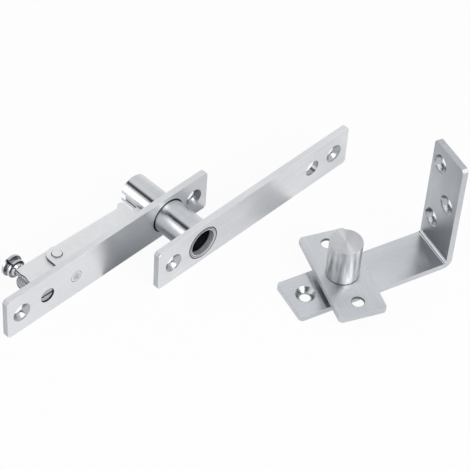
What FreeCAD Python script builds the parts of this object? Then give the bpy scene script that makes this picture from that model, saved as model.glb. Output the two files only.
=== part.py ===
# Pivot hinge set for a door: an upper pivot with a retractable pin and a floor pivot on an angle bracket.
# Millimetres, +Z up. The origin is the floor point on the lower pivot's turning axis, +X runs along
# the upper frame plate, and +Y points to the side that the upper mechanism is on.
import FreeCAD, Part
import os

os.makedirs("parts", exist_ok=True)
doc = FreeCAD.newDocument("PivotHinge")
sheet = doc.addObject("Spreadsheet::Sheet", "Sizes")
X_AXIS = FreeCAD.Vector(1, 0, 0)
Y_AXIS = FreeCAD.Vector(0, 1, 0)
Z_AXIS = FreeCAD.Vector(0, 0, 1)

# Driving sizes, one row of the sheet each
SIZES = [
    ("strip_width", 22.0), ("strip_thick", 3.0), ("corner_cut", 1.2),
    ("screw_hole_r", 2.5), ("sink_r", 4.6), ("seat_gap", 0.04), ("turn_gap", 0.05), ("face_gap", 0.3),
    # Where the upper pivot stands
    ("upper_x", -126.5), ("upper_y", 73.5),
    # Upper frame plate
    ("pin_to_end", 23.8), ("frame_hole_inset", 8.0), ("pin_along", 92.2),
    ("recess_r", 8.7), ("recess_depth", 0.7),
    # Guide tube and pin
    ("tube_r", 7.4), ("tube_length", 20.0), ("pin_r", 6.5), ("pin_reach", 10.0), ("pin_end_inset", 2.0),
    ("end_cut", 0.6),
    # Upper door plate and its bush
    ("plate_gap", 19.2), ("door_length", 118.5), ("door_pin_inset", 26.7), ("door_hole_inset", 9.0),
    ("plain_hole_inset", 23.1), ("plain_hole_r", 3.9), ("bush_r", 8.1), ("liner_r", 7.3), ("liner_gap", 0.08),
    ("liner_short", 2.0),
    # Adjusting screw and nut
    ("screw_along", 22.2), ("head_r", 3.3), ("head_depth", 0.5), ("head_thick", 1.5), ("head_hole_r", 3.5),
    ("shank_r", 1.8), ("shank_length", 22.0), ("slot_width", 0.9), ("slot_depth", 0.8),
    ("clip_r", 3.0), ("clip_thick", 0.8),
    ("nut_start", 18.7), ("nose_r", 2.3), ("nose_length", 1.2), ("front_flange_r", 4.4), ("rear_flange_r", 5.2),
    ("flange_thick", 1.3), ("groove_r", 3.2), ("groove_length", 1.5),
    # Lever
    ("fulcrum_along", 38.4), ("lever_back", 12.4), ("lever_width", 10.0), ("lever_sheet", 1.0),
    ("lever_inside", 3.8), ("lever_left", 18.4), ("lever_tail", 15.8), ("lever_end_gap", 3.8), ("web_left", 11.0),
    ("lever_tilt", 2.2), ("nose_short", 4.2), ("tongue_nose_r", 1.6), ("tongue_width", 2.2),
    ("tongue_thick", 3.0), ("tongue_root", 6.0), ("lobe_r", 2.0),
    ("pin_slot_room", 0.6), ("pin_slot_depth", 4.8), ("tube_slot_start", 5.2),
    # Fulcrum bracket, pin and rivet
    ("tab_half", 4.7), ("bracket_sheet", 1.0), ("tab_gap", 0.1), ("fulcrum_r", 2.4), ("pin_below", 0.2),
    ("rivet_r", 2.7), ("rivet_head_r", 2.9), ("rivet_head", 1.0),
    # Floor bracket
    ("strap_angle", -16.7), ("strap_pad", 26.3), ("strap_run", 50.0), ("leg_height", 60.0), ("bend_inner", 1.5),
    ("pad_hole_inset", 8.4), ("leg_top_hole", 50.5), ("leg_mid_hole", 33.4), ("leg_low_hole", 17.6),
    ("leg_far_offset", 5.0), ("leg_near_offset", 4.0),
    # Lower door plate, spindle and socket
    ("cross_angle", -24.9), ("cross_length", 49.4), ("cross_hole_along", 17.8), ("cross_hole_r", 2.8),
    ("washer_r", 9.0), ("washer_thick", 2.6), ("spindle_r", 5.0), ("spindle_cut", 0.8), ("socket_r", 7.4),
    ("socket_height", 19.4), ("socket_roof", 3.0), ("spigot_r", 6.5), ("socket_liner_wall", 0.7),
    ("pad_thick", 1.0),
    # Sizes that follow from the ones above
    ("frame_length", "=pin_along + pin_to_end"),
    ("lever_right", "=pin_along - fulcrum_along - tube_r - lever_end_gap"),
    ("nose_arm", "=pin_along - fulcrum_along - nose_short"),
]
for row, (alias, value) in enumerate(SIZES, start=1):
    sheet.set("A%d" % row, alias)
    sheet.set("B%d" % row, str(value))
    sheet.setAlias("B%d" % row, alias)
doc.recompute()

ALIASES = sorted((alias for alias, value in SIZES), key=len, reverse=True)
NODES = []


def bound(text):
    # Puts the sheet's name before every alias in an expression
    words = []
    word = ""
    for mark in text + " ":
        if mark.isalnum() or mark == "_":
            word += mark
            continue
        words.append("Sizes." + word if word in ALIASES else word)
        words.append(mark)
        word = ""
    return "".join(words).strip()


def bind(obj, prop, text):
    obj.setExpression(prop, bound(text))


def put(obj, x, y, z):
    bind(obj, "Placement.Base.x", x)
    bind(obj, "Placement.Base.y", y)
    bind(obj, "Placement.Base.z", z)
    return obj


def block(name, x, y, z, length, width, height):
    obj = doc.addObject("Part::Box", name)
    bind(obj, "Length", length)
    bind(obj, "Width", width)
    bind(obj, "Height", height)
    return put(obj, x, y, z)


def rod(name, x, y, z, radius, length, along="z"):
    obj = doc.addObject("Part::Cylinder", name)
    turned(obj, along)
    bind(obj, "Radius", radius)
    bind(obj, "Height", length)
    return put(obj, x, y, z)


def taper(name, x, y, z, radius_start, radius_end, length, along="z"):
    obj = doc.addObject("Part::Cone", name)
    turned(obj, along)
    bind(obj, "Radius1", radius_start)
    bind(obj, "Radius2", radius_end)
    bind(obj, "Height", length)
    return put(obj, x, y, z)


def turned(obj, along):
    if along == "y":
        obj.Placement = FreeCAD.Placement(FreeCAD.Vector(), FreeCAD.Rotation(X_AXIS, -90))
    if along == "x":
        obj.Placement = FreeCAD.Placement(FreeCAD.Vector(), FreeCAD.Rotation(Y_AXIS, 90))


def joined(name, shapes):
    obj = doc.addObject("Part::MultiFuse", name)
    obj.Shapes = shapes
    obj.Refine = True
    return obj


def less(name, base, tools):
    obj = doc.addObject("Part::Cut", name)
    obj.Base = base
    obj.Tool = tools[0] if len(tools) == 1 else joined(name + "_tools", tools)
    return obj


def bevelled(name, base, cut, wanted):
    # Chamfers the edges of base that wanted picks out
    doc.recompute()
    size = sheet.get(cut)
    obj = doc.addObject("Part::Chamfer", name)
    obj.Base = base
    obj.Edges = [(i, size, size) for i, edge in enumerate(base.Shape.Edges, start=1) if wanted(edge)]
    return obj


def runs_along(edge, axis):
    if not isinstance(edge.Curve, Part.Line):
        return False
    return abs(edge.tangentAt(edge.FirstParameter).dot(axis)) > 0.999


def node(obj, label):
    obj.Label = label
    NODES.append(obj)
    return obj


def stand_upper(obj, label, along="0", back="0"):
    put(obj, "upper_x + " + along, "upper_y + " + back, "0")
    return node(obj, label)


def stand_lower(obj, label, turn):
    obj.Placement = FreeCAD.Placement(FreeCAD.Vector(), FreeCAD.Rotation(Z_AXIS, 1))
    bind(obj, "Placement.Rotation.Angle", turn)
    return node(obj, label)


def sunk_hole(name, x, face_y, z, side):
    # Straight hole with a countersink that opens at face_y; side is "+" if the strip lies toward +Y
    hole = rod(name + "_hole", x, face_y if side == "+" else face_y + " - strip_thick", z,
               "screw_hole_r", "strip_thick", "y")
    depth = "(sink_r - screw_hole_r)"
    if side == "+":
        sink = taper(name + "_sink", x, face_y, z, "sink_r", "screw_hole_r", depth, "y")
    else:
        sink = taper(name + "_sink", x, face_y + " - " + depth, z, "screw_hole_r", "sink_r", depth, "y")
    return [hole, sink]


# Upper frame plate: a steel strip on its long edge, drilled for two screws, the adjusting screw,
# the rivet and the guide tube
mid = "strip_width / 2"
strip = block("frame_strip", "0", "0", "0", "frame_length", "strip_thick", "strip_width")
strip = bevelled("frame_strip_cut", strip, "corner_cut", lambda edge: runs_along(edge, Y_AXIS))
cuts = sunk_hole("frame_left", "frame_hole_inset", "0", mid, "+")
cuts += sunk_hole("frame_right", "frame_length - frame_hole_inset", "0", mid, "+")
cuts.append(rod("frame_tube_hole", "pin_along", "0", mid, "tube_r + seat_gap", "strip_thick", "y"))
cuts.append(rod("frame_recess", "pin_along", "0", mid, "recess_r", "recess_depth", "y"))
cuts.append(rod("frame_head_hole", "screw_along", "0", mid, "head_hole_r", "head_depth + head_thick", "y"))
cuts.append(rod("frame_shank_hole", "screw_along", "0", mid, "shank_r + turn_gap", "strip_thick", "y"))
cuts.append(rod("frame_rivet_hole", "fulcrum_along", "0", mid, "rivet_r + seat_gap", "strip_thick", "y"))
stand_upper(less("frame_plate_cut", strip, cuts), "frame_plate")

# Guide tube: pressed into the frame plate, slotted on the lever's side and open at the rear
tube_back = "(strip_thick + tube_length)"
tube = rod("tube_body", "pin_along", "recess_depth", mid, "tube_r", tube_back + " - recess_depth", "y")
tube = bevelled("tube_body_cut", tube, "end_cut", lambda edge: isinstance(edge.Curve, Part.Circle)
                and edge.CenterOfMass.y > sheet.get("strip_thick"))
slot_height = "(tongue_thick + 2 * pin_slot_room)"
tube_slot = block("tube_slot", "pin_along - tube_r - 1", "strip_thick + tube_slot_start",
                  mid + " - " + slot_height + " / 2", "tube_r + 1", "tube_length", slot_height)
tube_bore = rod("tube_bore", "pin_along", "0", mid, "pin_r + turn_gap", tube_back, "y")
stand_upper(less("guide_tube_cut", tube, [tube_bore, tube_slot]), "guide_tube")

# Pivot pin: slides in the guide tube, with a cross slot that takes the lever's tongue
pin_start = "(0 - pin_reach)"
pin_length = "(" + tube_back + " - pin_end_inset + pin_reach)"
pin = rod("pin_body", "pin_along", pin_start, mid, "pin_r", pin_length, "y")
pin = bevelled("pin_body_cut", pin, "end_cut", lambda edge: isinstance(edge.Curve, Part.Circle))
nose_back = "(lever_back - nose_arm * sin(lever_tilt))"
slot_width = "(2 * tongue_nose_r + 2 * pin_slot_room)"
pin_slot = block("pin_slot", "pin_along - pin_r - 1", nose_back + " - " + slot_width + " / 2",
                 mid + " - " + slot_height + " / 2", "pin_slot_depth + 1", slot_width, slot_height)
stand_upper(less("pivot_pin_cut", pin, [pin_slot]), "pivot_pin")

# Adjusting screw: slotted head sunk in the frame plate, shank running back past the lever
head = rod("screw_head", "screw_along", "head_depth", mid, "head_r", "head_thick - seat_gap", "y")
shank = rod("screw_shank", "screw_along", "head_depth", mid, "shank_r", "shank_length", "y")
slot = block("screw_slot", "screw_along - head_r", "head_depth", mid + " - slot_width / 2",
             "2 * head_r", "slot_depth", "slot_width")
stand_upper(less("adjusting_screw_cut", joined("screw_body", [head, shank]), [slot]), "adjusting_screw")

# Retaining clip: a ring on the shank behind the frame plate
clip = rod("clip_ring", "screw_along", "strip_thick + seat_gap", mid, "clip_r", "clip_thick", "y")
clip_bore = rod("clip_bore", "screw_along", "strip_thick", mid, "shank_r + 0.02", "clip_thick + 1", "y")
stand_upper(less("retaining_clip_cut", clip, [clip_bore]), "retaining_clip")

# Adjusting nut: a spool turned from bar, with a conical nose and two flanges
flange_start = "(nut_start + nose_length)"
groove_start = "(" + flange_start + " + flange_thick)"
rear_start = "(" + groove_start + " + groove_length)"
nut = joined("nut_body", [
    taper("nut_nose", "screw_along", "nut_start", mid, "nose_r", "groove_r", "nose_length", "y"),
    rod("nut_front", "screw_along", flange_start, mid, "front_flange_r", "flange_thick", "y"),
    rod("nut_groove", "screw_along", groove_start, mid, "groove_r", "groove_length", "y"),
    rod("nut_rear", "screw_along", rear_start, mid, "rear_flange_r", "flange_thick", "y"),
])
nut_bore = rod("nut_bore", "screw_along", "nut_start - 1", mid, "shank_r + turn_gap", "9", "y")
stand_upper(less("adjusting_nut_cut", nut, [nut_bore]), "adjusting_nut")

# Lever: a folded channel on the fulcrum pin, forked past the screw, with a tongue into the pivot pin.
# Modelled about the fulcrum axis and set at its resting tilt
half = "lever_width / 2"
low_z = "(" + mid + " - lever_inside / 2 - lever_sheet)"
top_z = "(" + mid + " + lever_inside / 2)"
lever_height = "(lever_inside + 2 * lever_sheet)"
pieces = [
    block("lever_top", "0 - lever_left", "0 - " + half, top_z, "lever_left + lever_right", "lever_width",
          "lever_sheet"),
    block("lever_low", "0 - lever_tail", "0 - " + half, low_z, "lever_tail + lever_right", "lever_width",
          "lever_sheet"),
    rod("lever_low_end", "0 - lever_tail", "0", low_z, half, "lever_sheet"),
    block("lever_web", "0 - web_left", "0 - " + half, low_z, "web_left + lever_right", "lever_sheet",
          lever_height),
    block("lever_root", "lever_right - tongue_root", "0 - " + half, low_z, "tongue_root",
          half + " + tongue_width / 2", lever_height),
    block("lever_tongue", "lever_right - 1", "0 - tongue_width / 2", mid + " - tongue_thick / 2",
          "nose_arm - lever_right + 1", "tongue_width", "tongue_thick"),
    rod("lever_nose", "nose_arm", "0", mid + " - tongue_thick / 2", "tongue_nose_r", "tongue_thick"),
    rod("lever_lobe", "lever_right - lobe_r", half, top_z, "lobe_r", "lever_sheet"),
]
lever_bore = rod("lever_bore", "0", "0", "0", "fulcrum_r + turn_gap", "strip_width")
lever = less("lever_cut", joined("lever_body", pieces), [lever_bore])
lever.Placement = FreeCAD.Placement(FreeCAD.Vector(), FreeCAD.Rotation(Z_AXIS, -1))
bind(lever, "Placement.Rotation.Angle", "0 - lever_tilt")
stand_upper(lever, "lever", "fulcrum_along", "lever_back")

# Fulcrum bracket: folded strip with two round-ended tabs that hold the fulcrum pin
tab_top = "(" + top_z + " + lever_sheet + tab_gap)"
tab_low = "(" + low_z + " - tab_gap - bracket_sheet)"
bracket_parts = [block("bracket_web", "fulcrum_along - tab_half", "strip_thick", tab_low,
                       "2 * tab_half", "bracket_sheet", tab_top + " - " + tab_low + " + bracket_sheet")]
for side, level in (("upper", tab_top), ("lower", tab_low)):
    bracket_parts.append(block("bracket_tab_" + side, "fulcrum_along - tab_half", "strip_thick", level,
                               "2 * tab_half", "lever_back - strip_thick", "bracket_sheet"))
    bracket_parts.append(rod("bracket_end_" + side, "fulcrum_along", "lever_back", level,
                             "tab_half", "bracket_sheet"))
bracket_cuts = [
    rod("bracket_bore", "fulcrum_along", "lever_back", "0", "fulcrum_r + seat_gap", "strip_width"),
    rod("bracket_rivet_hole", "fulcrum_along", "0", mid, "rivet_r + seat_gap", "2 * strip_thick", "y"),
]
stand_upper(less("fulcrum_bracket_cut", joined("bracket_body", bracket_parts), bracket_cuts),
            "fulcrum_bracket")

# Fulcrum pin and rivet
fulcrum = rod("fulcrum_body", "fulcrum_along", "lever_back", tab_low, "fulcrum_r",
              tab_top + " - " + tab_low + " + bracket_sheet - pin_below")
stand_upper(bevelled("fulcrum_cut", fulcrum, "pin_below",
                     lambda edge: isinstance(edge.Curve, Part.Circle)), "fulcrum_pin")
rivet_seat = "strip_thick + bracket_sheet"
rivet = joined("rivet_body", [
    rod("rivet_shank", "fulcrum_along", "0", mid, "rivet_r", rivet_seat + " + rivet_head / 2", "y"),
    rod("rivet_top", "fulcrum_along", rivet_seat, mid, "rivet_head_r", "rivet_head", "y"),
])
stand_upper(rivet, "fulcrum_rivet")

# Upper door plate: a second strip in front of the first, carried on the pin by its bush
door_left = "(pin_along - door_pin_inset)"
door_front = "(0 - plate_gap - strip_thick)"
strip = block("door_strip", door_left, door_front, "0", "door_length", "strip_thick", "strip_width")
strip = bevelled("door_strip_cut", strip, "corner_cut", lambda edge: runs_along(edge, Y_AXIS))
cuts = sunk_hole("door_left", door_left + " + door_hole_inset", door_front, mid, "+")
cuts += sunk_hole("door_right", door_left + " + door_length - door_hole_inset", door_front, mid, "+")
cuts.append(rod("door_plain", door_left + " + door_length - plain_hole_inset", door_front, mid,
                "plain_hole_r", "strip_thick", "y"))
cuts.append(rod("door_bush_hole", "pin_along", door_front, mid, "bush_r + seat_gap", "strip_thick", "y"))
stand_upper(less("upper_door_plate_cut", strip, cuts), "upper_door_plate")

# Door bush and its liner
bush_end = "(recess_depth - face_gap)"
bush = rod("bush_body", "pin_along", door_front, mid, "bush_r", bush_end + " - " + door_front, "y")
bush_bore = rod("bush_bore", "pin_along", door_front, mid, "liner_r + seat_gap", "60", "y")
stand_upper(less("door_bush_cut", bush, [bush_bore]), "door_bush")
liner = rod("liner_body", "pin_along", door_front, mid, "liner_r",
            bush_end + " - " + door_front + " - liner_short", "y")
liner_bore = rod("liner_bore", "pin_along", door_front, mid, "pin_r + liner_gap", "60", "y")
stand_upper(less("bush_liner_cut", liner, [liner_bore]), "bush_liner")

# Floor bracket: one strip bent up into a leg, drilled for the spindle, the floor screw and three wall screws
back = "(0 - " + mid + ")"
bend_outer = "(bend_inner + strip_thick)"
bend_at = "(strap_run - " + bend_outer + ")"
strap = block("strap_flat", "0 - strap_pad", back, "0", "strap_pad + " + bend_at, "strip_width", "strip_thick")
strap = bevelled("strap_flat_cut", strap, "corner_cut", lambda edge: runs_along(edge, Z_AXIS)
                 and edge.CenterOfMass.x < 0)
leg = block("leg_flat", "strap_run - strip_thick", back, bend_outer, "strip_thick", "strip_width",
            "leg_height - " + bend_outer)
leg = bevelled("leg_flat_cut", leg, "corner_cut", lambda edge: runs_along(edge, X_AXIS)
               and edge.CenterOfMass.z > sheet.get("leg_height") - 1)
bend_block = block("bend_block", bend_at, back, "0", bend_outer, "strip_width", bend_outer)
bend_round = rod("bend_round", bend_at, back, bend_outer, bend_outer, "strip_width", "y")
bend_solid = doc.addObject("Part::MultiCommon", "bend_solid")
bend_solid.Shapes = [bend_block, bend_round]
bend = less("bend_cut", bend_solid,
            [rod("bend_inside", bend_at, back, bend_outer, "bend_inner", "strip_width", "y")])
cuts = [rod("strap_spindle_hole", "0", "0", "0", "spindle_r + seat_gap", "strip_thick")]
pad_hole_x = "(pad_hole_inset - strap_pad)"
sink_depth = "(sink_r - screw_hole_r)"
cuts.append(rod("pad_hole", pad_hole_x, "0", "0", "screw_hole_r", "strip_thick"))
cuts.append(taper("pad_sink", pad_hole_x, "0", "strip_thick - " + sink_depth, "screw_hole_r", "sink_r",
                  sink_depth))
LEG_HOLES = (("top", "leg_far_offset", "leg_top_hole"), ("mid", "(0 - leg_near_offset)", "leg_mid_hole"),
             ("low", "leg_far_offset", "leg_low_hole"))
for name, across, height in LEG_HOLES:
    cuts.append(rod("leg_hole_" + name, "strap_run - strip_thick", across, height, "screw_hole_r",
                    "strip_thick", "x"))
    cuts.append(taper("leg_sink_" + name, "strap_run - strip_thick", across, height, "sink_r",
                      "screw_hole_r", sink_depth, "x"))
stand_lower(less("floor_bracket_cut", joined("bracket_strip", [strap, leg, bend]), cuts),
            "floor_bracket", "strap_angle")

# Spindle: pressed into the strap and standing up inside the socket
plate_low = "(strip_thick + washer_thick + turn_gap)"
plate_top = "(" + plate_low + " + strip_thick)"
socket_top = "(" + plate_top + " + socket_height)"
bore_top = "(" + socket_top + " - socket_roof)"
spindle = rod("spindle_body", "0", "0", "0", "spindle_r", bore_top + " - pad_thick - 2 * turn_gap")
spindle = bevelled("spindle_cut", spindle, "spindle_cut", lambda edge: isinstance(edge.Curve, Part.Circle)
                   and edge.CenterOfMass.z > sheet.get("strip_thick"))
stand_lower(spindle, "spindle", "strap_angle")

# Thrust washer between the strap and the lower door plate
washer = rod("washer_body", "0", "0", "strip_thick", "washer_r", "washer_thick")
washer_bore = rod("washer_bore", "0", "0", "0", "spindle_r + turn_gap", "2 * strip_thick")
stand_lower(less("thrust_washer_cut", washer, [washer_bore]), "thrust_washer", "strap_angle")

# Lower door plate: a short strip across the strap, screwed up into the door's underside
cross_half = "cross_length / 2"
cross = block("cross_strip", "0 - " + mid, "0 - " + cross_half, plate_low, "strip_width", "cross_length",
              "strip_thick")
cross = bevelled("cross_strip_cut", cross, "corner_cut", lambda edge: runs_along(edge, Z_AXIS))
cuts = [rod("cross_socket_hole", "0", "0", plate_low, "spigot_r + seat_gap", "strip_thick")]
for name, sign in (("near", "0 - "), ("far", "0 + ")):
    along = sign + "cross_hole_along"
    cuts.append(rod("cross_hole_" + name, "0", along, plate_low, "cross_hole_r", "strip_thick"))
    cuts.append(taper("cross_sink_" + name, "0", along, plate_low, "sink_r", "cross_hole_r",
                      "sink_r - cross_hole_r"))
stand_lower(less("lower_door_plate_cut", cross, cuts), "lower_door_plate", "cross_angle")

# Socket: a closed round housing on the plate, its spigot pressed through the plate
socket = joined("socket_body", [
    rod("socket_round", "0", "0", plate_top, "socket_r", "socket_height"),
    rod("socket_spigot", "0", "0", plate_low, "spigot_r", "strip_thick"),
])
liner_outer = "(spindle_r + turn_gap + socket_liner_wall)"
socket_bore = rod("socket_bore", "0", "0", "0", liner_outer + " + seat_gap", bore_top)
stand_lower(less("socket_cut", socket, [socket_bore]), "socket", "cross_angle")
liner = rod("socket_liner_body", "0", "0", plate_low, liner_outer,
            bore_top + " - pad_thick - seat_gap - " + plate_low)
liner_bore = rod("socket_liner_bore", "0", "0", "0", "spindle_r + turn_gap", bore_top)
stand_lower(less("socket_liner_cut", liner, [liner_bore]), "socket_liner", "cross_angle")
pad = rod("thrust_pad_body", "0", "0", bore_top + " - pad_thick", liner_outer, "pad_thick - seat_gap")
stand_lower(pad, "thrust_pad", "cross_angle")

doc.recompute()
for obj in doc.Objects:
    if "Invalid" in obj.State or "Error" in obj.State:
        raise SystemExit("failed object: " + obj.Name)
for obj in NODES:
    shape = obj.Shape
    if shape.isNull() or not shape.isValid() or not shape.Solids:
        raise SystemExit("bad shape: " + obj.Label)
    shape.exportStep("parts/" + obj.Label + ".step")
    print("%-18s solids %d volume %9.2f" % (obj.Label, len(shape.Solids), shape.Volume))
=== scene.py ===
import bpy
import math
from mathutils import Matrix, Vector


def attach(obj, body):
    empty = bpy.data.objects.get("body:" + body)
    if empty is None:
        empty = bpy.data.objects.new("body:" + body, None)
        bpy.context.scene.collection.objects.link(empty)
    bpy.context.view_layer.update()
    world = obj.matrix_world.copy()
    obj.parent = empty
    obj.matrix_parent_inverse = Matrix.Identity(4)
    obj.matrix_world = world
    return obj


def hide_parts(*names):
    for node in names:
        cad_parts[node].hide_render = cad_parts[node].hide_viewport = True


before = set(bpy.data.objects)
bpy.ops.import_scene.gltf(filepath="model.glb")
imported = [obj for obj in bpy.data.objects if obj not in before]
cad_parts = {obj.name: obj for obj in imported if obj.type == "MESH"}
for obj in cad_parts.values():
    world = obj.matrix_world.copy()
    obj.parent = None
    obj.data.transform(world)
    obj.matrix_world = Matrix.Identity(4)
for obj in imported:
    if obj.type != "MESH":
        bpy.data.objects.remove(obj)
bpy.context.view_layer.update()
MM = 0.001


# The photographer's camera: a long lens from the front left and well above, rolled by a few degrees.
# Its place and lens come from fitting the strips' edges and holes in the photograph.
CAMERA_AT = (-481.106, -369.437, 668.278)
CAMERA_AIM = (-13.017, 52.251, 0.0)
CAMERA_ROLL_DEG = 4.398
CAMERA_LENS_MM = 158.55
camera_data = bpy.data.cameras.new("studio_camera")
camera_data.sensor_width = 36.0
camera_data.lens = CAMERA_LENS_MM
camera_data.clip_start = 0.05
camera_data.clip_end = 20.0
camera = bpy.data.objects.new("studio_camera", camera_data)
bpy.context.scene.collection.objects.link(camera)
backward = (Vector(CAMERA_AT) - Vector(CAMERA_AIM)).normalized()
right = Vector((0, 0, 1)).cross(backward).normalized()
upward = backward.cross(right)
roll = math.radians(CAMERA_ROLL_DEG)
right, upward = (right * math.cos(roll) + upward * math.sin(roll),
                 upward * math.cos(roll) - right * math.sin(roll))
camera.matrix_world = (Matrix.Translation(Vector(CAMERA_AT) * MM)
                       @ Matrix((right, upward, backward)).transposed().to_4x4())
bpy.context.scene.camera = camera


# The studio floor: a sheet of white matt paper. It carries soft contact shadows, and what looks straight
# at it or mirrors it sees it nearly white, as in the catalogue photograph. Its fibres are drawn far coarser
# than real ones, at 3 mm, as a faint waviness.
PAPER_WHITE = "#F4F4F5"
PAPER_SIZE_MM = 6000.0
PAPER_FIBRE_MM = 3.0
PAPER_BELOW_MM = 0.02
PAPER_SEEN_GLOW = 0.93
PAPER_MIRRORED_GLOW = 0.72


def linear(hex_colour):
    channels = [int(hex_colour[i:i + 2], 16) / 255 for i in (1, 3, 5)]
    return [c / 12.92 if c <= 0.04045 else ((c + 0.055) / 1.055) ** 2.4 for c in channels] + [1.0]


def add_node(tree, kind, settings=None, values=None, links=None):
    made = tree.nodes.new(kind)
    for name, value in (settings or {}).items():
        setattr(made, name, value)
    for name, value in (values or {}).items():
        made.inputs[name].default_value = value
    for name, source in (links or {}).items():
        tree.links.new(source, made.inputs[name])
    return made


def deselect_everything():
    if bpy.context.object and bpy.context.object.mode != "OBJECT":
        bpy.ops.object.mode_set(mode="OBJECT")
    bpy.ops.object.select_all(action="DESELECT")


paper = bpy.data.materials.new("white_matt_paper")
paper.use_nodes = True
paper_tree = paper.node_tree
paper_tree.nodes.clear()
paper_place = add_node(paper_tree, "ShaderNodeTexCoord")
paper_at = add_node(paper_tree, "ShaderNodeMapping", None, {"Scale": [1 / (PAPER_FIBRE_MM * MM)] * 3},
                    {"Vector": paper_place.outputs["Object"]})
paper_fibre = add_node(paper_tree, "ShaderNodeTexNoise", None, {"Scale": 1.0, "Detail": 2.0},
                       {"Vector": paper_at.outputs["Vector"]})
paper_bump = add_node(paper_tree, "ShaderNodeBump", None, {"Strength": 0.08, "Distance": 0.05 * MM},
                      {"Height": paper_fibre.outputs["Fac"]})
paper_face = add_node(paper_tree, "ShaderNodeBsdfDiffuse", None, {"Color": linear(PAPER_WHITE)},
                      {"Normal": paper_bump.outputs["Normal"]})
paper_glow = add_node(paper_tree, "ShaderNodeEmission", None, {"Color": [1, 1, 1, 1], "Strength": 1.0})
paper_rays = add_node(paper_tree, "ShaderNodeLightPath")
seen_straight = add_node(paper_tree, "ShaderNodeMath", {"operation": "MAXIMUM"}, None,
                         {0: paper_rays.outputs["Is Camera Ray"],
                          1: paper_rays.outputs["Is Transmission Ray"]})
seen_share = add_node(paper_tree, "ShaderNodeMath", {"operation": "MULTIPLY"}, {1: PAPER_SEEN_GLOW},
                      {0: seen_straight.outputs["Value"]})
mirror_share = add_node(paper_tree, "ShaderNodeMath", {"operation": "MULTIPLY"}, {1: PAPER_MIRRORED_GLOW},
                        {0: paper_rays.outputs["Is Glossy Ray"]})
white_share = add_node(paper_tree, "ShaderNodeMath", {"operation": "MAXIMUM"}, None,
                       {0: seen_share.outputs["Value"], 1: mirror_share.outputs["Value"]})
paper_mix = add_node(paper_tree, "ShaderNodeMixShader", None, None,
                     {0: white_share.outputs["Value"], 1: paper_face.outputs["BSDF"],
                      2: paper_glow.outputs["Emission"]})
add_node(paper_tree, "ShaderNodeOutputMaterial", None, None, {"Surface": paper_mix.outputs["Shader"]})
deselect_everything()
bpy.ops.mesh.primitive_plane_add(size=PAPER_SIZE_MM * MM, location=(0, 0, -PAPER_BELOW_MM * MM))
floor = bpy.context.object
floor.name = "studio_floor"
bpy.ops.object.transform_apply(location=True, rotation=True, scale=True)
floor.data.materials.append(paper)


# Studio light: two large softboxes and a white tent with a dark opening overhead and a greyer side. The
# opening is what the dark streaks on the tubes mirror, and the grey side dims the level faces.
SOFTBOXES = [
    # name, place mm, aim mm, side mm, watts
    ("softbox_left", (-950, 520, 330), (-20, 30, 10), 1100, 3.9),
    ("softbox_front", (-100, -1000, 700), (-20, 30, 10), 800, 7.0),
]
for box_name, place, aim, side, watts in SOFTBOXES:
    light = bpy.data.lights.new(box_name, "AREA")
    light.shape = "SQUARE"
    light.size = side * MM
    light.energy = watts
    lamp = bpy.data.objects.new(box_name, light)
    bpy.context.scene.collection.objects.link(lamp)
    lamp.location = Vector(place) * MM
    lamp.rotation_mode = "QUATERNION"
    lamp.rotation_quaternion = (Vector(aim) - Vector(place)).to_track_quat("-Z", "Y")
OPENING_TOWARD = (-0.55, 0, 0.835)
TENT_LIGHT = 0.65
GREY_SIDE_TOWARD = (0.50, 0.46, 0.73)
tent = bpy.data.worlds.new("white_tent")
bpy.context.scene.world = tent
tent.use_nodes = True
tent_tree = tent.node_tree
tent_tree.nodes.clear()
tent_place = add_node(tent_tree, "ShaderNodeTexCoord")
tent_flat = add_node(tent_tree, "ShaderNodeVectorMath", {"operation": "MULTIPLY"}, {1: (1, 0, 1)},
                     {0: tent_place.outputs["Generated"]})
tent_round = add_node(tent_tree, "ShaderNodeVectorMath", {"operation": "NORMALIZE"}, None,
                      {0: tent_flat.outputs["Vector"]})
TENT_TONES = [
    (tent_round.outputs["Vector"], OPENING_TOWARD,
     [(0.87, "#FFFFFF"), (0.93, "#D9DADC"), (0.965, "#5C5F64"), (0.985, "#26282B")]),
    (tent_place.outputs["Generated"], GREY_SIDE_TOWARD,
     [(0.45, "#FFFFFF"), (0.72, "#F6F6F7"), (0.90, "#ECEDEE"), (1.0, "#E6E7E9")]),
]
tent_colours = []
for looked_along, toward, steps in TENT_TONES:
    tent_dot = add_node(tent_tree, "ShaderNodeVectorMath", {"operation": "DOT_PRODUCT"}, {1: toward},
                        {0: looked_along})
    tent_tone = add_node(tent_tree, "ShaderNodeValToRGB", None, None, {"Fac": tent_dot.outputs["Value"]})
    ramp = tent_tone.color_ramp
    ramp.interpolation = "EASE"
    ramp.elements[0].position, ramp.elements[0].color = steps[0][0], linear(steps[0][1])
    ramp.elements[1].position, ramp.elements[1].color = steps[-1][0], linear(steps[-1][1])
    for step, step_tone in steps[1:-1]:
        ramp.elements.new(step).color = linear(step_tone)
    tent_colours.append(tent_tone.outputs["Color"])
tent_both = add_node(tent_tree, "ShaderNodeMix", {"data_type": "RGBA", "blend_type": "MULTIPLY"}, {0: 1.0},
                     {6: tent_colours[0], 7: tent_colours[1]})
tent_rays = add_node(tent_tree, "ShaderNodeLightPath")
tent_mirrored = add_node(tent_tree, "ShaderNodeBackground", None, {"Strength": 1.0},
                         {"Color": tent_both.outputs[2]})
tent_light = add_node(tent_tree, "ShaderNodeBackground", None,
                      {"Color": linear("#F6F7FA"), "Strength": TENT_LIGHT})
tent_seen = add_node(tent_tree, "ShaderNodeBackground", None, {"Color": [1, 1, 1, 1], "Strength": 1.0})
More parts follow.
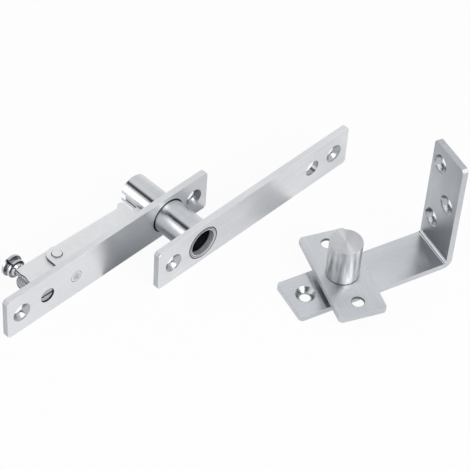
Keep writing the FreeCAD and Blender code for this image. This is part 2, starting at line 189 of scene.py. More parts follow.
tent_mix = add_node(tent_tree, "ShaderNodeMixShader", None, None,
                    {0: tent_rays.outputs["Is Glossy Ray"], 1: tent_light.outputs["Background"],
                     2: tent_mirrored.outputs["Background"]})
tent_all = add_node(tent_tree, "ShaderNodeMixShader", None, None,
                    {0: tent_rays.outputs["Is Camera Ray"], 1: tent_mix.outputs["Shader"],
                     2: tent_seen.outputs["Background"]})
add_node(tent_tree, "ShaderNodeOutputWorld", None, None, {"Surface": tent_all.outputs["Shader"]})
bpy.context.scene.view_settings.view_transform = "Standard"

# Painted reflections: two cards lie on the paper in front of the long plates and glow in grey and white tones
# that run along X. Only mirrored rays meet them, so they show as painted darker and lighter stretches of the
# brushed faces and nowhere else.
CARD_ABOVE_PAPER_MM = 0.01
PAINTED_REFLECTION_CARDS = [
    # name, corners mm counterclockwise from the lower left one, tones along X in mm
    ("painted_reflection_frame_plate", [(-57, 55), (-11, 55), (-11, 73.4), (-73, 73.4)],
     [(-73, "#5C6064"), (-60, "#777B80"), (-38, "#A3A6AA"), (-11, "#8E9196")]),
    ("painted_reflection_door_plate", [(-40, 30), (72, 30), (58, 51.2), (-52, 51.2)],
     [(-50, "#FFFFFF"), (-24, "#F4F4F5"), (-2, "#EDEDEE"), (10, "#C0C2C5"), (20, "#B4B6BA"), (24, "#FFFFFF"),
      (40, "#F8F8F9"), (60, "#E6E7E8")]),
]


def place_corners(plane, corners_mm):
    # Moves the corners of a new plane, counterclockwise from the lower left one
    around = sorted(plane.data.vertices, key=lambda corner: math.atan2(corner.co.y, corner.co.x))
    for corner, place_mm in zip(around, corners_mm):
        corner.co = Vector(place_mm) * MM


for card_name, corners, tones in PAINTED_REFLECTION_CARDS:
    deselect_everything()
    bpy.ops.mesh.primitive_plane_add(size=1.0, location=(0, 0, 0))
    card = bpy.context.object
    card.name = card_name
    place_corners(card, [(x, y, CARD_ABOVE_PAPER_MM) for x, y in corners])
    grey = bpy.data.materials.new(card_name + "_grey")
    grey.use_nodes = True
    grey_tree = grey.node_tree
    grey_tree.nodes.clear()
    grey_place = add_node(grey_tree, "ShaderNodeTexCoord")
    grey_axes = add_node(grey_tree, "ShaderNodeSeparateXYZ", None, None, {0: grey_place.outputs["Object"]})
    first, last = tones[0][0] * MM, tones[-1][0] * MM
    grey_share = add_node(grey_tree, "ShaderNodeMapRange", None, {"From Min": first, "From Max": last},
                          {"Value": grey_axes.outputs["X"]})
    grey_tone = add_node(grey_tree, "ShaderNodeValToRGB", None, None, {"Fac": grey_share.outputs["Result"]})
    steps = [((along * MM - first) / (last - first), tone) for along, tone in tones]
    ramp = grey_tone.color_ramp
    ramp.elements[0].color, ramp.elements[1].color = linear(steps[0][1]), linear(steps[-1][1])
    for step, step_tone in steps[1:-1]:
        ramp.elements.new(step).color = linear(step_tone)
    # The card glows in its tone along X, a painted reflection that only the brushed faces mirror
    grey_glow = add_node(grey_tree, "ShaderNodeEmission", None, None, {"Color": grey_tone.outputs["Color"]})
    add_node(grey_tree, "ShaderNodeOutputMaterial", None, None, {"Surface": grey_glow.outputs["Emission"]})
    card.data.materials.append(grey)
    card.visible_camera = False
    card.visible_diffuse = False
    card.visible_shadow = False
    card.visible_transmission = False


# The two long plates: 22 x 3 mm stainless steel strip (a chromium nickel steel), sawn to length, corners
# clipped, holes drilled and countersunk, the faces then satin brushed along the length with a belt. The
# brushing gives fine lines and a soft stretched shine. The sawn edges are plainer and a little lighter.
def brushed_metal(name, colour, shade, roughness, grain, line_mm, bump_mm, turn_deg=0.0, patch_mm=14.0,
                  spread=0.05, contrast=1.0, across=None, stretch=0.85):
    # grain scales the noise along X, Y and Z, so a small number stretches the lines that way. across is the
    # direction over the lines, in which they smear what they mirror, or "rings" round the vertical axis.
    # spread is how far the shine varies along with the tone, contrast how hard the two tones part, and
    # stretch how far the lines smear. The lines are drawn coarser than real ones, mostly at 0.35 to 0.6 mm
    # where a belt or tool leaves about 0.05 mm, so that they show at this size
    made = bpy.data.materials.new(name)
    made.use_nodes = True
    tree = made.node_tree
    shader = tree.nodes["Principled BSDF"]
    shader.inputs["Metallic"].default_value = 1.0
    place = add_node(tree, "ShaderNodeTexCoord")
    if across is not None:
        shader.inputs["Anisotropic"].default_value = stretch
        over = add_node(tree, "ShaderNodeVectorMath", {"operation": "MULTIPLY"},
                        {0: (0, 0, 0) if across == "rings" else across,
                         1: (1, 1, 0) if across == "rings" else (1, 1, 1)},
                        {0: place.outputs["Object"]} if across == "rings" else None)
        carried = add_node(tree, "ShaderNodeVectorTransform",
                           {"vector_type": "VECTOR", "convert_from": "OBJECT", "convert_to": "WORLD"},
                           None, {"Vector": over.outputs["Vector"]})
        tree.links.new(carried.outputs["Vector"], shader.inputs["Tangent"])
    turned = add_node(tree, "ShaderNodeMapping", {"vector_type": "TEXTURE"},
                      {"Rotation": (0, 0, math.radians(turn_deg))}, {"Vector": place.outputs["Object"]})
    lines_at = add_node(tree, "ShaderNodeMapping", None, {"Scale": [g / (line_mm * MM) for g in grain]},
                        {"Vector": turned.outputs["Vector"]})
    lines = add_node(tree, "ShaderNodeTexNoise", None, {"Scale": 1.0, "Detail": 3.0, "Roughness": 0.6},
                     {"Vector": lines_at.outputs["Vector"]})
    patches_at = add_node(tree, "ShaderNodeMapping", None,
                          {"Scale": [(0.3 + 0.7 * g) / (patch_mm * MM) for g in grain]},
                          {"Vector": turned.outputs["Vector"]})
    patches = add_node(tree, "ShaderNodeTexNoise", None, {"Scale": 1.0, "Detail": 2.0},
                       {"Vector": patches_at.outputs["Vector"]})
    both = add_node(tree, "ShaderNodeMath", {"operation": "ADD"}, None,
                    {0: lines.outputs["Fac"], 1: patches.outputs["Fac"]})
    # The two noises together lie round 1, so the tones run over a stretch on both sides of it
    half = 0.45 / contrast
    tone_share = add_node(tree, "ShaderNodeMapRange", None, {"From Min": 1 - half, "From Max": 1 + half},
                          {"Value": both.outputs["Value"]})
    tone = add_node(tree, "ShaderNodeMix", {"data_type": "RGBA"}, {6: linear(shade), 7: linear(colour)},
                    {0: tone_share.outputs["Result"]})
    tree.links.new(tone.outputs[2], shader.inputs["Base Color"])
    gloss = add_node(tree, "ShaderNodeMapRange", None,
                     {"From Min": 0.6, "From Max": 1.4, "To Min": roughness + spread,
                      "To Max": roughness - spread}, {"Value": both.outputs["Value"]})
    tree.links.new(gloss.outputs["Result"], shader.inputs["Roughness"])
    scratch = add_node(tree, "ShaderNodeBump", None, {"Strength": 0.7, "Distance": bump_mm * MM},
                       {"Height": lines.outputs["Fac"]})
    tree.links.new(scratch.outputs["Normal"], shader.inputs["Normal"])
    return made


def make_active(piece):
    deselect_everything()
    piece.select_set(True)
    bpy.context.view_layer.objects.active = piece


MERGE_WITHIN_MM = 0.002
FLAT_WITHIN_DEG = 0.6
SHARP_FROM_DEG = 50.0
SMOOTH_UP_TO_DEG = 30.0


def finished_copy(node_name, body, material, edge_mm, shaped=None, flat_weight=100):
    # The CAD piece with its loose triangles merged and its sharp edges broken, as a deburred part has them.
    # shaped is a function that works the merged piece further before its edges are broken. flat_weight is
    # how far the largest faces alone set the shading: all the way on a strip, by area on a turned piece
    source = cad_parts[node_name]
    piece = bpy.data.objects.new(node_name + "_finished", source.data.copy())
    bpy.context.scene.collection.objects.link(piece)
    make_active(piece)
    bpy.ops.object.mode_set(mode="EDIT")
    bpy.ops.mesh.select_all(action="SELECT")
    bpy.ops.mesh.remove_doubles(threshold=MERGE_WITHIN_MM * MM)
    bpy.ops.mesh.dissolve_limited(angle_limit=math.radians(FLAT_WITHIN_DEG))
    bpy.ops.object.mode_set(mode="OBJECT")
    if shaped:
        shaped(piece)
    bevel = piece.modifiers.new("broken_edges", "BEVEL")
    bevel.width = edge_mm * MM
    bevel.segments = 2
    bevel.limit_method = "ANGLE"
    bevel.angle_limit = math.radians(SHARP_FROM_DEG)
    bpy.ops.object.modifier_apply(modifier=bevel.name)
    piece.data.materials.clear()
    piece.data.materials.append(material)
    bpy.ops.object.shade_smooth_by_angle(angle=math.radians(SMOOTH_UP_TO_DEG))
    flat_faces = piece.modifiers.new("flat_faces_stay_flat", "WEIGHTED_NORMAL")
    flat_faces.keep_sharp = True
    flat_faces.weight = flat_weight
    bpy.ops.object.modifier_apply(modifier=flat_faces.name)
    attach(piece, body)
    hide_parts(node_name)
    return piece


def finish_faces(piece, material, is_meant):
    # Gives the faces that is_meant picks out, by their normal and their centre in mm, a finish of their own
    piece.data.materials.append(material)
    for face in piece.data.polygons:
        if is_meant(face.normal, face.center / MM):
            face.material_index = len(piece.data.materials) - 1


# The long edges are plainer and lighter than the belt's lines. The sawn ends are drawn darker, a painted
# shade on the end faces, and the drill leaves smooth rings in the countersinks, which show light and dark
# wedges and are drawn darker than the strip, a painted shade in the hollows
STRIP_BRUSHED = brushed_metal("satin_brushed_stainless_strip", "#ECEDEF", "#DADCDF", 0.40, (0.03, 1, 1),
                              0.5, 0.012, across=(0, 0, 1))
STRIP_EDGE = brushed_metal("sawn_stainless_edge", "#F2F3F4", "#DFE0E3", 0.52, (0.15, 1, 0.6), 0.6, 0.03)
STRIP_END_PAINTED_SHADE = brushed_metal("sawn_stainless_end_painted_shade", "#C9CBCE", "#ACAFB3", 0.50, (0.6, 1, 0.15), 0.6, 0.01)
HOLE_TURNED_PAINTED_SHADE = brushed_metal("countersunk_stainless_painted_shade", "#C6C8CB", "#93969B", 0.28, (1, 0.05, 1), 0.4, 0.005)
STRIP_WIDTH_MM = 22.0
STRIP_RIM_MM = 0.3
PLATE_ENDS_MM = (-126.5, -10.5, -61.0, 57.5)
PLATE_END_REACH_MM = 1.5


def is_strip_edge(normal, centre):
    on_rim = centre.z < STRIP_RIM_MM or centre.z > STRIP_WIDTH_MM - STRIP_RIM_MM
    at_end = any(abs(centre.x - end) < PLATE_END_REACH_MM for end in PLATE_ENDS_MM)
    return abs(normal.y) < 0.9 and (on_rim or at_end)


def is_strip_end(normal, centre):
    return is_strip_edge(normal, centre) and abs(normal.x) > 0.6


def is_strip_hole(normal, centre):
    return abs(normal.y) < 0.9 and not is_strip_edge(normal, centre)


for plate_name, plate_body in (("frame_plate", "frame"), ("upper_door_plate", "upper_door")):
    plate = finished_copy(plate_name, plate_body, STRIP_BRUSHED, 0.22)
    finish_faces(plate, STRIP_EDGE, is_strip_edge)
    # The sawn ends and the countersinks get their darker finishes, painted shade
    finish_faces(plate, STRIP_END_PAINTED_SHADE, is_strip_end)
    finish_faces(plate, HOLE_TURNED_PAINTED_SHADE, is_strip_hole)


# Guide tube, bush and its liner: stainless tube turned on a lathe, pressed through the plates. The tool
# leaves fine rings round the tube, which stretch the light into streaks along it.
TUBE_TURNED = brushed_metal("turned_stainless_tube", "#E0E2E4", "#CACCD0", 0.25, (0.03, 1, 0.03), 0.45,
                            0.0012, spread=0.02, across=(0, 1, 0))
# Dark joint lines and painted shade: the narrow joints between pressed parts are drawn as dark lines, partly
# their own dark line and partly painted shadow in the gaps. The same dark colour paints shade into the pin's
# recess, the screw head's hole and slot and onto the side of the peened pin's raised end
JOINT_LINES_AND_PAINTED_SHADE = brushed_metal("dark_joint_lines_and_painted_shade", "#4A4C50", "#303236", 0.6, (1, 1, 1), 0.5, 0.01)
FRAME_FACE_MM = 73.5
DOOR_FACE_MM = 51.3
PIN_X_MM = -34.3
SCREW_X_MM = -104.3
FULCRUM_X_MM = -88.1
HEAD_BACK_MM = 75.6
BUSH_JOINT_R_MM = (7.75, 8.2)
LINER_JOINT_R_MM = (7.05, 7.4)
LINER_BORE_R_MM = 6.65
BUSH_HOLE_R_MM = 8.5
PIN_RECESS_R_MM = 8.8
HEAD_HOLE_R_MM = 3.6
RIVET_HOLE_R_MM = 3.1


def from_axis(centre, axis_x_mm):
    # How far from an axis that runs along Y at half the strips' width
    return math.hypot(centre.x - axis_x_mm, centre.z - STRIP_WIDTH_MM / 2)


def is_bush_joint(normal, centre):
    at_face = centre.y < DOOR_FACE_MM + 0.35 and abs(normal.y) < 0.97
    return at_face and BUSH_JOINT_R_MM[0] < from_axis(centre, PIN_X_MM) < BUSH_JOINT_R_MM[1]


def is_liner_joint(normal, centre):
    at_face = centre.y < DOOR_FACE_MM + 0.3 and abs(normal.y) < 0.97
    return at_face and LINER_JOINT_R_MM[0] < from_axis(centre, PIN_X_MM) < LINER_JOINT_R_MM[1]


def is_plate_joint(normal, centre):
    behind = centre.y - FRAME_FACE_MM
    in_pin_recess = 0.1 < behind < 0.8 and from_axis(centre, PIN_X_MM) < PIN_RECESS_R_MM
    in_head_hole = centre.y < HEAD_BACK_MM and from_axis(centre, SCREW_X_MM) < HEAD_HOLE_R_MM
    at_rivet = behind < 0.5 and from_axis(centre, FULCRUM_X_MM) < RIVET_HOLE_R_MM and abs(normal.y) < 0.97
    at_bush = centre.y < DOOR_FACE_MM + 0.4 and from_axis(centre, PIN_X_MM) < BUSH_HOLE_R_MM
    return in_pin_recess or in_head_hole or at_rivet or at_bush


# The plates' joints round the bush and the rivet get the dark joint lines, partly painted shadow, and the
# pin's recess and the screw head's hole get painted shade
for plate_name in ("frame_plate", "upper_door_plate"):
    finish_faces(bpy.data.objects[plate_name + "_finished"], JOINT_LINES_AND_PAINTED_SHADE, is_plate_joint)
finished_copy("guide_tube", "frame", TUBE_TURNED, 0.2, flat_weight=50)
bush = finished_copy("door_bush", "upper_door", TUBE_TURNED, 0.3, flat_weight=50)
# The bush's joint with the plate is drawn as a dark line, partly painted shadow in the gap
finish_faces(bush, JOINT_LINES_AND_PAINTED_SHADE, is_bush_joint)
BORE_REAMED_TO_MM = 54.0


def cut_across(piece, places_mm):
    # Adds rings of edges where planes across Y meet the piece
    make_active(piece)
    bpy.ops.object.mode_set(mode="EDIT")
    for place_mm in places_mm:
        bpy.ops.mesh.select_all(action="SELECT")
        bpy.ops.mesh.bisect(plane_co=(0, place_mm * MM, 0), plane_no=(0, 1, 0))
    bpy.ops.object.mode_set(mode="OBJECT")


def ring_round_the_bore(piece):
    cut_across(piece, [BORE_REAMED_TO_MM])


liner = finished_copy("bush_liner", "upper_door", TUBE_TURNED, 0.2,
                      shaped=ring_round_the_bore, flat_weight=50)
# The bore is reamed and dull at its mouth, where a thin film dulls the metal, and behind it is drawn dark, a
# painted shade deep in the bore
BORE_REAMED = brushed_metal("reamed_bore_of_the_liner", "#ECEDEF", "#A4A7AC", 0.5, (1, 0.05, 1), 0.7, 0.01)
BORE_REAMED.node_tree.nodes["Principled BSDF"].inputs["Metallic"].default_value = 0.55
BORE_PAINTED_SHADE = brushed_metal("deep_bore_painted_shade", "#85888D", "#3E4145", 0.36, (0.05, 1, 0.05), 0.9, 0.02)


def is_reamed_bore(normal, centre):
    return from_axis(centre, PIN_X_MM) < LINER_BORE_R_MM and abs(normal.y) < 0.5


def is_deep_bore(normal, centre):
    return is_reamed_bore(normal, centre) and centre.y > BORE_REAMED_TO_MM


finish_faces(liner, BORE_REAMED, is_reamed_bore)
# The bore behind the reamed mouth gets the dark colour, painted shade deep in the bore
finish_faces(liner, BORE_PAINTED_SHADE, is_deep_bore)
# The liner's joint with the bush is drawn as a dark line, partly painted shadow in the gap
finish_faces(liner, JOINT_LINES_AND_PAINTED_SHADE, is_liner_joint)


# Pivot pin: ground stainless bar, the part that shoots into the door's bush, with a slot in its side for
# the lever's tongue. Grinding leaves it smooth and a little darker than the turned tube round it.
PIN_GROUND = brushed_metal("ground_stainless_bar", "#C9CBCF", "#ABAEB4", 0.22, (0.03, 1, 0.03), 0.4, 0.008)
finished_copy("pivot_pin", "pin", PIN_GROUND, 0.15, flat_weight=50)


# Lever and its bracket: folded 1 mm stainless sheet, blanked, bent and tumbled, which leaves a soft shine
# with no lines. The round ended bracket is riveted to the frame plate.
SHEET_TUMBLED = brushed_metal("tumbled_stainless_sheet", "#F6F7F8", "#EEEFF0", 0.46, (1, 1, 1), 1.6, 0.006,
                              patch_mm=5.0)
LEVER_MOUTH_AT_MM = (-112.3, 86.0, 14.0)
LEVER_MOUTH_R_MM = 6.2
LEVER_PUNCH_MM = 3.2


def open_lever_mouth(piece):
    # The upper leaf ends in a hollow curve that clears the adjusting screw
    deselect_everything()
    bpy.ops.mesh.primitive_cylinder_add(vertices=96, radius=LEVER_MOUTH_R_MM * MM, depth=LEVER_PUNCH_MM * MM,
                                        location=[place * MM for place in LEVER_MOUTH_AT_MM])
    punch = bpy.context.object
    make_active(piece)
    cut = piece.modifiers.new("lever_mouth", "BOOLEAN")
    cut.operation = "DIFFERENCE"
    cut.solver = "EXACT"
    cut.object = punch
    bpy.ops.object.modifier_apply(modifier=cut.name)
    bpy.data.objects.remove(punch)


lever = finished_copy("lever", "lever_arm", SHEET_TUMBLED, 0.15, shaped=open_lever_mouth)
# The sheet's edges that face left and the wall round the fulcrum pin are drawn dark, a painted shade on the
# side away from the light and a painted shadow in the gap beside the tab
SHEET_EDGE_PAINTED_SHADE = brushed_metal("painted_shade_on_sheet_edges", "#5A5D62", "#3B3E42", 0.45, (1, 1, 0.2), 0.5, 0.01)
FULCRUM_Y_MM = 85.9
FULCRUM_EYE_R_MM = 2.7
TAB_FROM_Y_MM = 78.5
LEVER_END_X_MM = -103.5


def is_tab_edge(normal, centre):
    from_pin = math.hypot(centre.x - FULCRUM_X_MM, centre.y - FULCRUM_Y_MM)
    round_the_pin = centre.z > 12.0 and abs(normal.z) < 0.97 and from_pin < FULCRUM_EYE_R_MM
    return round_the_pin or (abs(normal.z) < 0.5 and normal.x < -0.2 and centre.y > TAB_FROM_Y_MM)


def is_lever_end(normal, centre):
    return abs(normal.z) < 0.5 and normal.x < -0.2 and centre.x < LEVER_END_X_MM


# The lever's left end faces get the painted shade
finish_faces(lever, SHEET_EDGE_PAINTED_SHADE, is_lever_end)
tab = finished_copy("fulcrum_bracket", "frame", SHEET_TUMBLED, 0.12)
# The tab's left-facing edges and the wall round the pin get the painted shade
finish_faces(tab, SHEET_EDGE_PAINTED_SHADE, is_tab_edge)


# Small turned parts: adjusting screw, nut, clip and rivet in bright plated or polished steel, whose clean
# mirror shine shows dark and light rings, and the fulcrum pin, tumbled dull with the sheet it holds.
BRIGHT_TURNED = brushed_metal("bright_turned_steel", "#D6D7DA", "#B4B7BC", 0.14, (0.05, 1, 0.05), 0.35, 0.006)
# The nut's forward faces are drawn dark, a painted reflection of the dark they mirror
NUT_FACE_PAINTED_REFLECTION = brushed_metal("nut_face_painted_dark_reflection", "#8E9196", "#64676C", 0.20, (0.05, 1, 0.05), 0.5, 0.004)
HEAD_WORN = brushed_metal("worn_screw_head", "#D2D4D7", "#8E9196", 0.30, (1, 1, 1), 0.7, 0.02)
THREAD_PITCH_MM = 0.7
THREAD_FROM_MM = 79.5
THREAD_TURNS = 22
THREAD_STEPS = 28
SCREW_CORE_R_MM = 1.42
SCREW_SLOT_REACH_MM = 3.2


def is_screw_face(normal, centre):
    return centre.y < HEAD_BACK_MM and normal.y < 0.9


def turn_down_shank(piece):
    # The thread's own piece stands on this thinner core, behind a short shoulder
    cut_across(piece, [THREAD_FROM_MM - 0.5, THREAD_FROM_MM - 0.1])
    middle = STRIP_WIDTH_MM / 2
    for corner in piece.data.vertices:
        at = corner.co / MM
        out = from_axis(at, SCREW_X_MM)
        if at.y > THREAD_FROM_MM - 0.2 and out > 1.5:
            corner.co = Vector((SCREW_X_MM + (at.x - SCREW_X_MM) * SCREW_CORE_R_MM / out, at.y,
                                middle + (at.z - middle) * SCREW_CORE_R_MM / out)) * MM


screw = finished_copy("adjusting_screw", "screw", BRIGHT_TURNED, 0.08, shaped=turn_down_shank)
finish_faces(screw, HEAD_WORN, is_screw_face)


def is_screw_slot(normal, centre):
    in_slot = 74.1 < centre.y < 74.9 and abs(centre.z - STRIP_WIDTH_MM / 2) < 0.5
    return in_slot and from_axis(centre, SCREW_X_MM) < SCREW_SLOT_REACH_MM


# The screw's slot is drawn in the dark colour, a painted shade in the slot
finish_faces(screw, JOINT_LINES_AND_PAINTED_SHADE, is_screw_slot)
# The thread: one ridge's outline, out from the axis and along it in mm, wound round the core
THREAD_RIDGE_MM = [(1.38, 0.0), (1.78, 0.30), (1.78, 0.38), (1.38, 0.68)]
deselect_everything()
bpy.ops.mesh.primitive_plane_add(size=1.0, location=(0, 0, 0))
thread = bpy.context.object
thread.name = "adjusting_screw_thread"
place_corners(thread, [(out, 0.0, along) for out, along in THREAD_RIDGE_MM])
bpy.ops.object.mode_set(mode="EDIT")
bpy.ops.mesh.select_all(action="SELECT")
bpy.ops.mesh.delete(type="ONLY_FACE")
bpy.ops.object.mode_set(mode="OBJECT")
winding = thread.modifiers.new("thread_winding", "SCREW")
winding.axis = "Z"
winding.screw_offset = THREAD_PITCH_MM * MM
winding.iterations = THREAD_TURNS
winding.steps = THREAD_STEPS
winding.render_steps = THREAD_STEPS
bpy.ops.object.modifier_apply(modifier=winding.name)
bpy.ops.object.mode_set(mode="EDIT")
bpy.ops.mesh.select_all(action="SELECT")
bpy.ops.mesh.remove_doubles(threshold=0.001 * MM)
bpy.ops.mesh.fill_holes(sides=8)
bpy.ops.mesh.normals_make_consistent(inside=False)
bpy.ops.object.mode_set(mode="OBJECT")
thread.data.transform(Matrix.Translation(Vector((SCREW_X_MM, THREAD_FROM_MM, STRIP_WIDTH_MM / 2)) * MM)
                      @ Matrix.Rotation(math.radians(-90), 4, "X"))
thread.data.materials.append(BRIGHT_TURNED)
bpy.ops.object.shade_smooth_by_angle(angle=math.radians(SMOOTH_UP_TO_DEG))
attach(thread, "screw")


def is_nut_face(normal, centre):
    return normal.y < -0.7


nut = finished_copy("adjusting_nut", "nut", BRIGHT_TURNED, 0.22)
# The nut's forward faces get the painted dark reflection
finish_faces(nut, NUT_FACE_PAINTED_REFLECTION, is_nut_face)
finished_copy("retaining_clip", "frame", BRIGHT_TURNED, 0.1)


def press_in(piece, direction, rim_mm, depth_mm, shoulder_mm):
    # Insets the end face that looks along direction and sinks its middle, as a punch leaves it, or raises
    # it where depth_mm is below 0, as peening does
    make_active(piece)
    furthest = max(face.center.dot(direction) for face in piece.data.polygons)
    for face in piece.data.polygons:
        face.select = face.normal.dot(direction) > 0.99 and face.center.dot(direction) > furthest - 1e-5
    bpy.ops.object.mode_set(mode="EDIT")
    bpy.ops.mesh.select_mode(type="FACE")
    bpy.ops.mesh.inset(thickness=rim_mm * MM)
    bpy.ops.mesh.inset(thickness=shoulder_mm * MM)
    bpy.ops.transform.translate(value=direction * (-depth_mm * MM))
    bpy.ops.object.mode_set(mode="OBJECT")


def peen_pin_end(piece):
    press_in(piece, Vector((0, 0, 1)), rim_mm=0.45, depth_mm=-0.9, shoulder_mm=0.12)


def is_pin_shoulder(normal, centre):
    return centre.z > 14.5 and normal.z < 0.9


def punch_rivet_end(piece):
    press_in(piece, Vector((0, -1, 0)), rim_mm=0.75, depth_mm=0.45, shoulder_mm=0.5)


fulcrum = finished_copy("fulcrum_pin", "frame", SHEET_TUMBLED, 0.1, shaped=peen_pin_end)
# The side of the peened pin's raised end is drawn in the dark colour, painted shade
finish_faces(fulcrum, JOINT_LINES_AND_PAINTED_SHADE, is_pin_shoulder)
rivet = finished_copy("fulcrum_rivet", "frame", BRIGHT_TURNED, 0.22, shaped=punch_rivet_end)


def is_rivet_rim(normal, centre):
    return normal.y < -0.9 and centre.y < FRAME_FACE_MM + 0.1


finish_faces(rivet, STRIP_EDGE, is_rivet_rim)


# Floor bracket: the same strip, bent up at one end over a small radius into the wall leg. Its brushing
# runs along the strip and up the leg, and the bend stretches it a little brighter.
STRAP_TURN_DEG = -16.7
strap_dir = Vector((math.cos(math.radians(STRAP_TURN_DEG)), math.sin(math.radians(STRAP_TURN_DEG)), 0))
strap_side = Vector((-strap_dir.y, strap_dir.x, 0))
STRAP_BRUSHED = brushed_metal("satin_brushed_stainless_bracket", "#E2E4E6", "#CDD0D4", 0.25, (0.03, 1, 1),
                              0.5, 0.012, turn_deg=STRAP_TURN_DEG, across=strap_side)
LEG_BRUSHED = brushed_metal("satin_brushed_stainless_leg", "#C9CCD0", "#B3B7BC", 0.38, (1, 1, 0.03),
                            0.5, 0.012, turn_deg=STRAP_TURN_DEG, across=strap_side)
LEG_FROM_MM = 4.6


def is_leg(normal, centre):
    return centre.z > LEG_FROM_MM and abs(normal.dot(strap_dir)) > 0.9


STRAP_TOP_MM = 3.2
STRAP_RIM_MM = 10.1
STRAP_END_MM = -25.0
LEG_TOP_MM = 59.1
LEG_HOLES_MM = ((5.0, 50.5), (-4.0, 33.4), (5.0, 17.6))
PAD_HOLE_ALONG_MM = -17.9
COUNTERSINK_REACH_MM = 5.0


def is_strap_edge(normal, centre):
    on_rim = (abs(centre.dot(strap_side)) > STRAP_RIM_MM or centre.dot(strap_dir) < STRAP_END_MM
              or centre.z > LEG_TOP_MM)
    return on_rim and abs(normal.z if centre.z < STRAP_TOP_MM else normal.dot(strap_dir)) < 0.9


BRACKET_EDGE = brushed_metal("sheared_stainless_edge", "#D6D8DB", "#BFC1C5", 0.58, (0.3, 0.3, 1), 0.6, 0.01)


def is_bracket_hole(normal, centre):
    along, over = centre.dot(strap_dir), centre.dot(strap_side)
    in_pad = math.hypot(along - PAD_HOLE_ALONG_MM, over) < COUNTERSINK_REACH_MM and centre.z < STRAP_TOP_MM
    in_leg = any(math.hypot(over - hole_over, centre.z - hole_up) < COUNTERSINK_REACH_MM
                 for hole_over, hole_up in LEG_HOLES_MM)
    return (in_pad and abs(normal.z) < 0.9) or (in_leg and abs(normal.dot(strap_dir)) < 0.9)


bracket = finished_copy("floor_bracket", "frame", STRAP_BRUSHED, 0.22)
finish_faces(bracket, LEG_BRUSHED, is_leg)
finish_faces(bracket, BRACKET_EDGE, is_strap_edge)
# The bracket's countersinks get the same darker finish, painted shade
finish_faces(bracket, HOLE_TURNED_PAINTED_SHADE, is_bracket_hole)


# Spindle and thrust washer: a hardened stainless spindle in the strap, and a dark sintered washer that the
# door plate turns on, drawn dark enough to stand as the painted shadow in the gap under the short plate.
# Little of either shows.
WASHER_DARK_AND_GAP_SHADOW = brushed_metal("dark_washer_and_painted_gap_shadow", "#55585C", "#3A3D40", 0.5, (1, 1, 1), 0.8, 0.03)
finished_copy("spindle", "frame", PIN_GROUND, 0.15)
finished_copy("thrust_washer", "frame", WASHER_DARK_AND_GAP_SHADOW, 0.2)


# Lower door plate: a short piece of the strip set across the strap, with two countersinks underneath for
# the screws that go up into the door.
CROSS_TURN_DEG = 24.9
CROSS_HOLE_ALONG_MM = 17.8
CROSS_RIM_MM = 10.5
CROSS_END_MM = 23.5
cross_dir = Vector((math.sin(math.radians(CROSS_TURN_DEG)), math.cos(math.radians(CROSS_TURN_DEG)), 0))
cross_side = Vector((cross_dir.y, -cross_dir.x, 0))
CROSS_BRUSHED = brushed_metal("satin_brushed_stainless_short", "#EEF0F2", "#D6D9DC", 0.38, (1, 0.03, 1),
                              0.5, 0.012, turn_deg=-CROSS_TURN_DEG, across=cross_side)


def is_cross_edge(normal, centre):
    on_rim = abs(centre.dot(cross_side)) > CROSS_RIM_MM or abs(centre.dot(cross_dir)) > CROSS_END_MM
    return abs(normal.z) < 0.9 and on_rim


cross = finished_copy("lower_door_plate", "lower_door", CROSS_BRUSHED, 0.22)
finish_faces(cross, BRACKET_EDGE, is_cross_edge)


def is_cross_hole(normal, centre):
    from_hole = math.hypot(abs(centre.dot(cross_dir)) - CROSS_HOLE_ALONG_MM, centre.dot(cross_side))
    return abs(normal.z) < 0.95 and from_hole < COUNTERSINK_REACH_MM


# Above the countersinks the holes are plainly drilled, and their wall is drawn darker, a painted shade inside
# the hole
HOLE_WALL_PAINTED_SHADE = brushed_metal("drilled_wall_painted_shade", "#85888D", "#63666B", 0.34, (1, 1, 0.05), 0.5, 0.008)
finish_faces(cross, HOLE_WALL_PAINTED_SHADE, is_cross_hole)


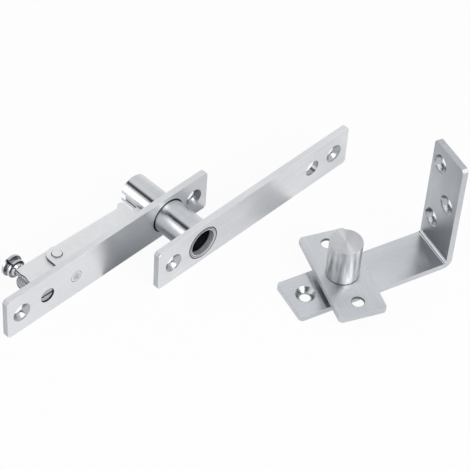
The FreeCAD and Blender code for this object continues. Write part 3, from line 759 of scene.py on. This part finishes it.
# Socket: stainless bar bored from below for the spindle and pressed into the short plate. Its end is faced
# on the lathe, so rings round the middle fan the light out. Its side carries strong dark and light streaks
# along the axis, partly drawn lines and partly painted reflection bands.
SOCKET_SIDE_PAINTED_STREAKS = brushed_metal("stainless_bar_lines_and_painted_streaks", "#F0F1F2", "#8F9398", 0.28, (1, 1, 0.02), 2.2, 0.002,
                            patch_mm=6.0, contrast=1.4, spread=0.02, across=(0, 0, 1))
SOCKET_END = brushed_metal("faced_stainless_end", "#E2E3E5", "#CCCED1", 0.36, (0.03, 0.03, 1), 0.45, 0.004,
                           across="rings", stretch=0.95)
SOCKET_TOP_MM = 27.9
SOCKET_FOOT_MM = (8.6, 8.96)
SOCKET_SPIGOT_R_MM = 7.0


def is_socket_end(normal, centre):
    return normal.z > 0.9 and centre.z > SOCKET_TOP_MM


# The side gets the streaks, partly painted reflection bands
socket = finished_copy("socket", "lower_door", SOCKET_SIDE_PAINTED_STREAKS, 0.3, flat_weight=50)
finish_faces(socket, SOCKET_END, is_socket_end)


def is_socket_foot(normal, centre):
    low, high = SOCKET_FOOT_MM
    return low < centre.z < high and math.hypot(centre.x, centre.y) > SOCKET_SPIGOT_R_MM


# The socket's foot, where it meets the short plate, is drawn as a dark joint line, partly painted shadow in
# the gap
finish_faces(socket, JOINT_LINES_AND_PAINTED_SHADE, is_socket_foot)


# Acetal liner and pad inside the socket: white slippery plastic, moulded and pushed in, which the spindle
# turns in. It is faintly cloudy and half matt, and hardly shows.
ACETAL_CLOUD_MM = 2.0
ACETAL = bpy.data.materials.new("white_acetal")
ACETAL.use_nodes = True
acetal_tree = ACETAL.node_tree
acetal_shader = acetal_tree.nodes["Principled BSDF"]
acetal_shader.inputs["IOR"].default_value = 1.48
acetal_place = add_node(acetal_tree, "ShaderNodeTexCoord")
acetal_at = add_node(acetal_tree, "ShaderNodeMapping", None, {"Scale": [1 / (ACETAL_CLOUD_MM * MM)] * 3},
                     {"Vector": acetal_place.outputs["Object"]})
acetal_cloud = add_node(acetal_tree, "ShaderNodeTexNoise", None, {"Scale": 1.0, "Detail": 2.0},
                        {"Vector": acetal_at.outputs["Vector"]})
acetal_tone = add_node(acetal_tree, "ShaderNodeMix", {"data_type": "RGBA"},
                       {6: linear("#E4E4E0"), 7: linear("#F0F0EC")}, {0: acetal_cloud.outputs["Fac"]})
acetal_tree.links.new(acetal_tone.outputs[2], acetal_shader.inputs["Base Color"])
acetal_shader.inputs["Roughness"].default_value = 0.4
finished_copy("socket_liner", "lower_door", ACETAL, 0.1)
finished_copy("thrust_pad", "lower_door", ACETAL, 0.1)
